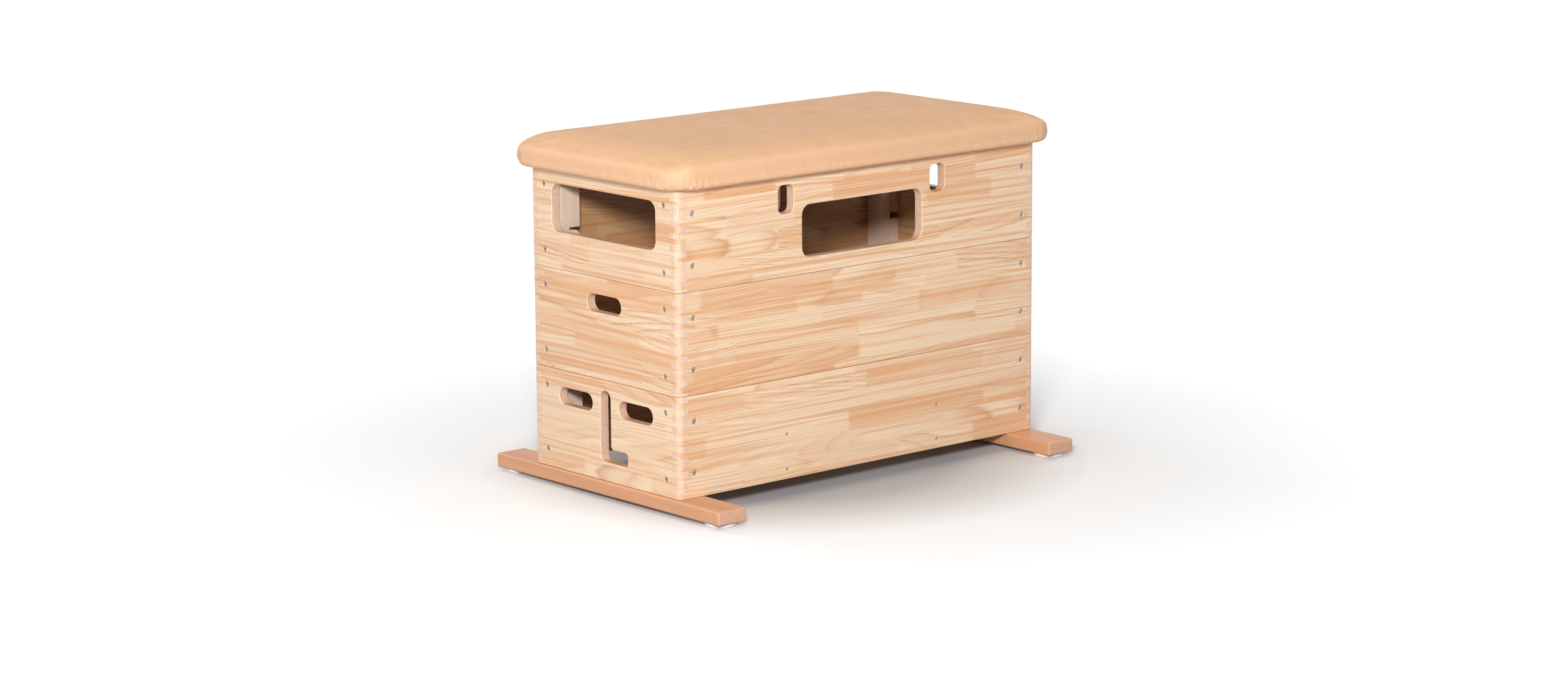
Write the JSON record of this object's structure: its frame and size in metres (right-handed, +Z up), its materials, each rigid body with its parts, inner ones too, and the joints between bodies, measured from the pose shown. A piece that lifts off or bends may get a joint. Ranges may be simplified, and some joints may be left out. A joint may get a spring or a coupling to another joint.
{
  "type": "vaulting box",
  "caption": "Low vaulting box of stacked finger-jointed timber frames under a leather-covered padded top, standing on two crosswise runners; the frames lift apart.",
  "frame": {"origin": "on the floor, midway between the ends and between the long sides of the padded top", "axes": "+X along the long sides, away from the end with the L-shaped slot; +Y across the box, away from the front long side; +Z up"},
  "size_m": [1.012, 0.69, 0.7009],
  "materials": {
    "pine": "satin varnished pine",
    "pale_beech": "planed pale beech",
    "red_beech": "satin varnished reddish beech",
    "birch_plywood": "raw plywood",
    "foam": "open foam",
    "leather": "matt natural leather",
    "zinc": "zinc plated",
    "glide_plastic": "white nylon"
  },
  "bodies": {
    "bottom_section": {"bottom_front_board": "pine", "bottom_back_board": "pine", "bottom_left_end_board": "pine", "bottom_right_end_board": "pine", "bottom_post_front_left": "pale_beech", "bottom_screw_front_left": "zinc", "bottom_post_front_right": "pale_beech", "bottom_screw_front_right": "zinc", "bottom_post_back_left": "pale_beech", "bottom_screw_back_left": "zinc", "bottom_post_back_right": "pale_beech", "bottom_screw_back_right": "zinc", "left_runner": "red_beech", "right_runner": "red_beech", "glide_front_left": "glide_plastic", "glide_screw_front_left": "zinc", "runner_screw_front_left": "zinc", "glide_front_right": "glide_plastic", "glide_screw_front_right": "zinc", "runner_screw_front_right": "zinc", "glide_back_left": "glide_plastic", "glide_screw_back_left": "zinc", "runner_screw_back_left": "zinc", "glide_back_right": "glide_plastic", "glide_screw_back_right": "zinc", "runner_screw_back_right": "zinc"},
    "middle_section": {"middle_front_board": "pine", "middle_back_board": "pine", "middle_left_end_board": "pine", "middle_right_end_board": "pine", "middle_post_front_left": "pale_beech", "middle_screw_front_left": "zinc", "middle_post_front_right": "pale_beech", "middle_screw_front_right": "zinc", "middle_post_back_left": "pale_beech", "middle_screw_back_left": "zinc", "middle_post_back_right": "pale_beech", "middle_screw_back_right": "zinc"},
    "top_section": {"top_front_board": "pine", "top_back_board": "pine", "top_left_end_board": "pine", "top_right_end_board": "pine", "top_post_front_left": "pale_beech", "top_screw_front_left": "zinc", "top_post_front_right": "pale_beech", "top_screw_front_right": "zinc", "top_post_back_left": "pale_beech", "top_screw_back_left": "zinc", "top_post_back_right": "pale_beech", "top_screw_back_right": "zinc", "pad_screw_front_left": "zinc", "pad_screw_front_right": "zinc", "pad_screw_back_left": "zinc", "pad_screw_back_right": "zinc", "pad_board": "birch_plywood", "pad_foam": "foam", "pad_cover": "leather"}
  },
  "joints": [
    {"name": "middle_lift", "type": "slide", "parent": "bottom_section", "child": "middle_section", "axis": [0, 0, 1], "range_m": [0, 0.12]},
    {"name": "top_lift", "type": "slide", "parent": "middle_section", "child": "top_section", "axis": [0, 0, 1], "range_m": [0, 0.12]}
  ]
}
